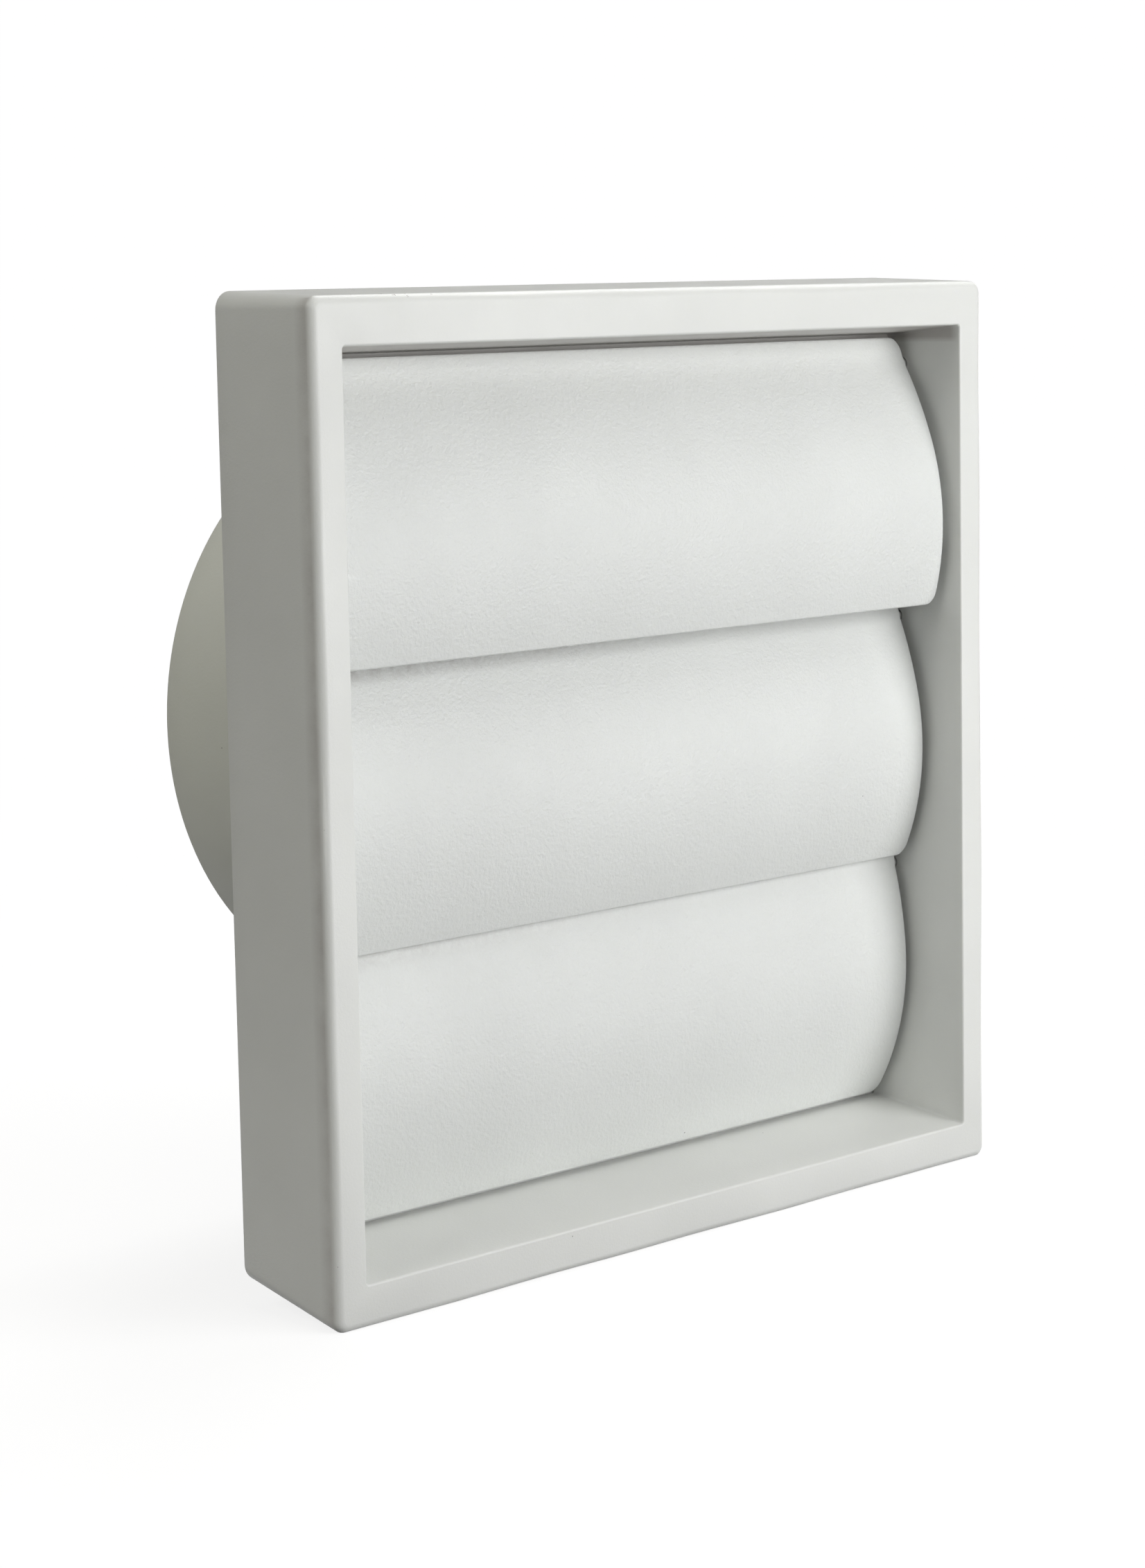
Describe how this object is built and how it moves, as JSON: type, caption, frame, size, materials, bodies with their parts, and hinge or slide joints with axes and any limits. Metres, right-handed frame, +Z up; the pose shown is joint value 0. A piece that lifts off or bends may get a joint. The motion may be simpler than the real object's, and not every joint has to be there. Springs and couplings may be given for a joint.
{
  "type": "gravity-flap wall outlet",
  "caption": "Square white plastic wall outlet for an extractor duct, with hanging bowed flaps in a deep surround and a round spigot behind.",
  "frame": {"origin": "In the wall's surface, in the middle of the square surround's back.", "axes": "+X is across the face, to the right when the face is looked at from outside. +Y goes into the wall, along the duct. +Z is up."},
  "size_m": [0.155, 0.0701, 0.1555],
  "materials": {
    "surround": "white moulded plastic, satin, with a fine texture on the sides",
    "wall_plate": "white moulded plastic, matt",
    "duct_spigot": "off-white moulded plastic, matt",
    "flap": "white moulded plastic with a fine spark-eroded grain",
    "hinge_pin": "pale grey plastic"
  },
  "bodies": {
    "housing": {"surround": "surround", "wall_plate": "wall_plate", "duct_spigot": "duct_spigot"},
    "flap_top": {"flap_top": "flap", "pin_top_left": "hinge_pin", "pin_top_right": "hinge_pin"},
    "flap_middle": {"flap_middle": "flap", "pin_middle_left": "hinge_pin", "pin_middle_right": "hinge_pin"},
    "flap_bottom": {"flap_bottom": "flap", "pin_bottom_left": "hinge_pin", "pin_bottom_right": "hinge_pin"}
  },
  "joints": [
    {"name": "flap_top_hinge", "type": "hinge", "parent": "housing", "child": "flap_top", "pos_m": [0, -0.0094, 0.0634], "axis": [-1, 0, 0], "range_deg": [-9, 49]},
    {"name": "flap_middle_hinge", "type": "hinge", "parent": "housing", "child": "flap_middle", "pos_m": [0, -0.0079, 0.0192], "axis": [-1, 0, 0], "range_deg": [-1, 57]},
    {"name": "flap_bottom_hinge", "type": "hinge", "parent": "housing", "child": "flap_bottom", "pos_m": [0, -0.0064, -0.025], "axis": [-1, 0, 0], "range_deg": [0, 63]}
  ]
}
